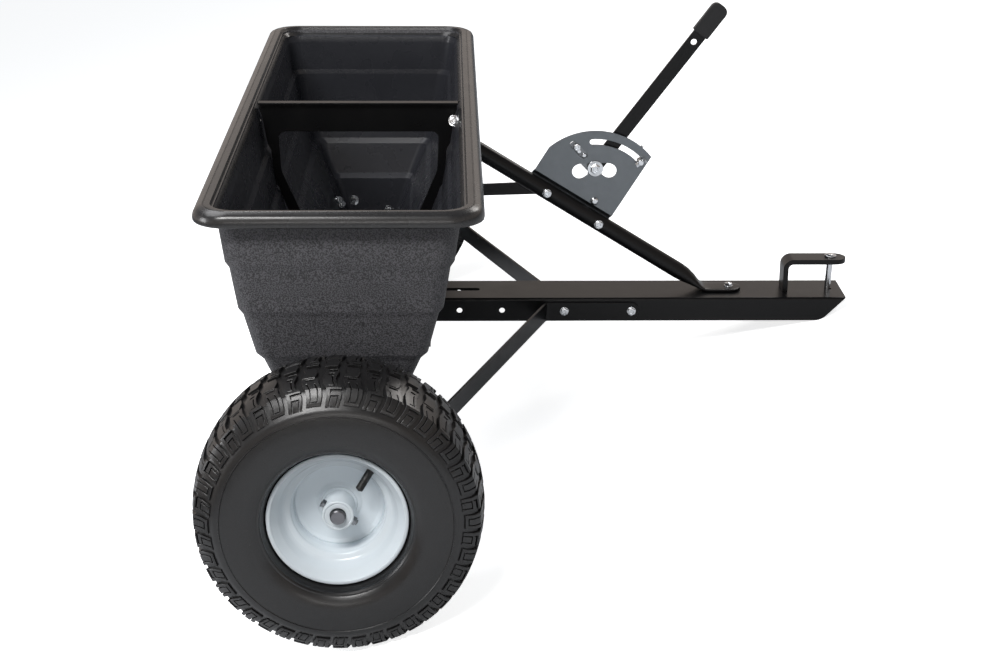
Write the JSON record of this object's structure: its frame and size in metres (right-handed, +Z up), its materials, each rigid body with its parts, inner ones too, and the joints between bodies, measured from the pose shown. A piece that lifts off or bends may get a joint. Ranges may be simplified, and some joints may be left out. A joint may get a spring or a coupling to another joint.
{
  "type": "pull-type drop spreader",
  "caption": "Tow-behind drop fertilizer spreader: stepped hopper on two turf wheels, channel tow bar with clevis and drop pin, and a quadrant lever that works the outlet shutter.",
  "frame": {"origin": "on the floor, under the middle of the parked machine's bounding box", "axes": "+X forward to the hitch, +Y along the axle towards the free-running wheel, +Z up; the machine stands parked, its tow bar's nose on the floor"},
  "size_m": [0.9532, 1.527, 0.5783],
  "materials": {
    "hopper_plastic": "moulded charcoal polyethylene, lightly textured outside, glossy inside",
    "black_steel": "gloss black powder coat",
    "zinc_plate": "zinc-plated sheet",
    "bright_zinc": "bright zinc-plated fasteners",
    "bare_steel": "plain steel shaft",
    "galvanised": "galvanised sheet",
    "wheel_white": "gloss white paint",
    "tyre_rubber": "black rubber",
    "valve_rubber": "black rubber",
    "bush_nylon": "off-white bearing plastic",
    "grip_plastic": "black grip"
  },
  "bodies": {
    "chassis": {"hopper_shell": "hopper_plastic", "centre_brace": "black_steel", "floor_plate": "galvanised", "guide_straps": "galvanised", "end_bracket_far": "black_steel", "end_bracket_near": "black_steel", "axle_bearing_far": "bush_nylon", "axle_bearing_near": "bush_nylon", "tow_bar": "black_steel", "bar_mount": "black_steel", "hitch_strap": "black_steel", "side_brace_far": "black_steel", "side_brace_near": "black_steel", "brace_bolts": "bright_zinc", "foot_bolt": "bright_zinc", "support_tube": "black_steel", "quadrant_plate": "zinc_plate", "quadrant_bolts": "bright_zinc", "stop_bolt": "bright_zinc", "pivot_bolt": "bright_zinc", "rocker_bracket": "black_steel", "rocker_pin": "bright_zinc"},
    "axle_and_near_wheel": {"axle": "bare_steel", "axle_collar_far": "bright_zinc", "axle_collar_near": "bright_zinc", "wheel_retainers": "bright_zinc", "agitator_far": "bare_steel", "agitator_near": "bare_steel", "wheel_hub_near": "wheel_white", "wheel_rim_near": "wheel_white", "tyre_near": "tyre_rubber", "valve_near": "valve_rubber", "cross_bolt": "bright_zinc"},
    "far_wheel": {"wheel_hub_far": "wheel_white", "wheel_rim_far": "wheel_white", "tyre_far": "tyre_rubber", "valve_far": "valve_rubber"},
    "flow_lever": {"lever": "black_steel", "lever_grip": "grip_plastic", "guide_bolt": "bright_zinc", "index_arm": "zinc_plate", "link_pin": "bright_zinc"},
    "link": {"flow_link": "black_steel"},
    "rocker_arm": {"rocker": "black_steel"},
    "shutter_slide": {"shutter": "galvanised"},
    "drop_pin": {"hitch_pin": "bright_zinc"}
  },
  "joints": [
    {"name": "axle_spin", "type": "hinge", "parent": "chassis", "child": "axle_and_near_wheel", "pos_m": [-0.29256, 0, 0.184], "axis": [0, 1, 0], "continuous": true},
    {"name": "far_wheel_spin", "type": "hinge", "parent": "chassis", "child": "far_wheel", "pos_m": [-0.29256, 0.688, 0.184], "axis": [0, 1, 0], "continuous": true},
    {"name": "lever_swing", "type": "hinge", "parent": "chassis", "child": "flow_lever", "pos_m": [0.11581, 0.0115, 0.27219], "axis": [0, 1, 0], "range_deg": [-34, 16]},
    {"name": "link_swing", "type": "hinge", "parent": "flow_lever", "child": "link", "pos_m": [0.12132, 0.0115, 0.29142], "axis": [0, 1, 0], "range_deg": [-17.05, 36.24]},
    {"name": "rocker_swing", "type": "hinge", "parent": "chassis", "child": "rocker_arm", "pos_m": [-0.15759, 0, 0.25555], "axis": [0, 1, 0], "range_deg": [-6.42, 3.02]},
    {"name": "shutter_travel", "type": "slide", "parent": "chassis", "child": "shutter_slide", "axis": [0.9612, 0, -0.2758], "range_m": [-0.0072, 0.0152]},
    {"name": "pin_lift", "type": "slide", "parent": "chassis", "child": "drop_pin", "axis": [0.2758, 0, 0.9612], "range_m": [0, 0.085]}
  ],
  "couplings": [
    {"joint": "link_swing", "follows": "lever_swing", "ratio": -1.045},
    {"joint": "rocker_swing", "follows": "lever_swing", "ratio": 0.185},
    {"joint": "shutter_travel", "follows": "lever_swing", "m_per_rad": -0.02516}
  ]
}
